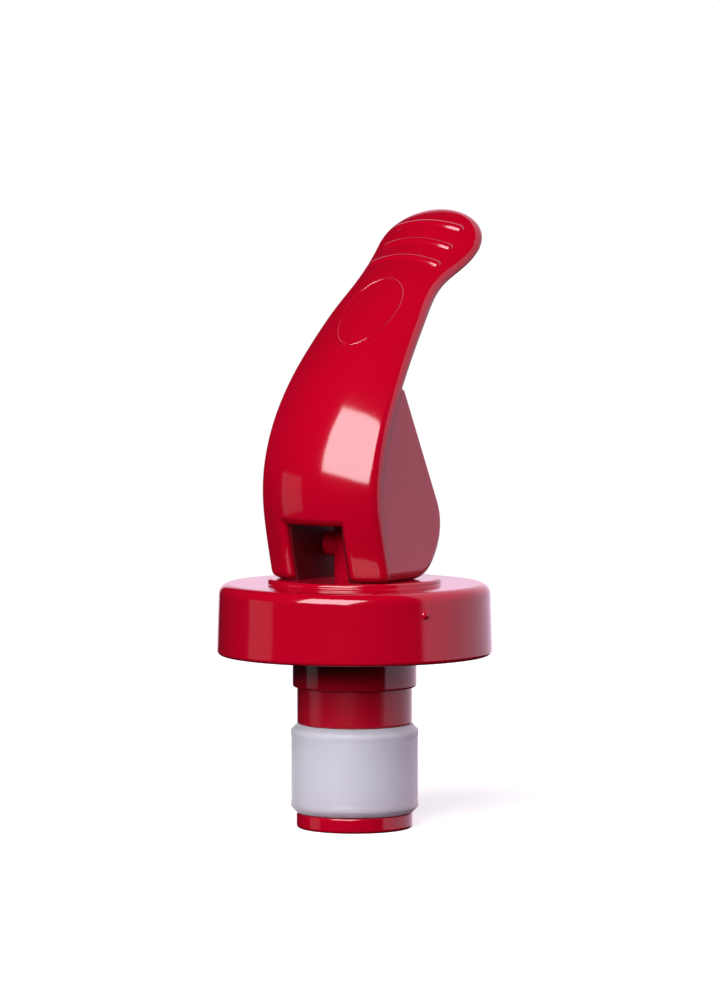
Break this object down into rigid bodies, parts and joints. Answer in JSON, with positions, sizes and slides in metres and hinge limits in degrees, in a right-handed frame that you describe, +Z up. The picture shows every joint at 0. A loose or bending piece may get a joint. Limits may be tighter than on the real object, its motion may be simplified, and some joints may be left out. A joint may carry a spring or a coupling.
{
  "type": "lever bottle stopper",
  "caption": "Round bottle stopper with a fold-over cam lever that draws up a plunger and swells a soft sealing ring in the neck.",
  "frame": {"origin": "on the axis, at the flat face under the cap that sits on the bottle's rim, where the collar begins", "axes": "+Z up along the axis towards the lever, -Z down into the neck; the lever folds over towards +X and its pivot lies along Y"},
  "size_m": [0.0441, 0.0388, 0.0871],
  "materials": {
    "red_plastic": "glossy moulded plastic, deep red",
    "milky_silicone": "satin, milky translucent silicone"
  },
  "bodies": {
    "cap": {"cap": "red_plastic", "guide_sleeve": "red_plastic", "sealing_ring": "milky_silicone"},
    "plunger": {"plunger": "red_plastic", "cross_pin": "red_plastic"},
    "lever": {"lever": "red_plastic"}
  },
  "joints": [
    {"name": "rod_lift", "type": "slide", "parent": "cap", "child": "plunger", "axis": [0, 0, 1], "range_m": [0, 0.00449], "deforming": ["sealing_ring"]},
    {"name": "lever_swing", "type": "hinge", "parent": "plunger", "child": "lever", "pos_m": [0, 0, 0.008], "axis": [0, 1, 0], "range_deg": [0, 117]}
  ],
  "couplings": [
    {"joint": "lever_swing", "follows": "rod_lift", "rad_per_m": 454.55}
  ]
}
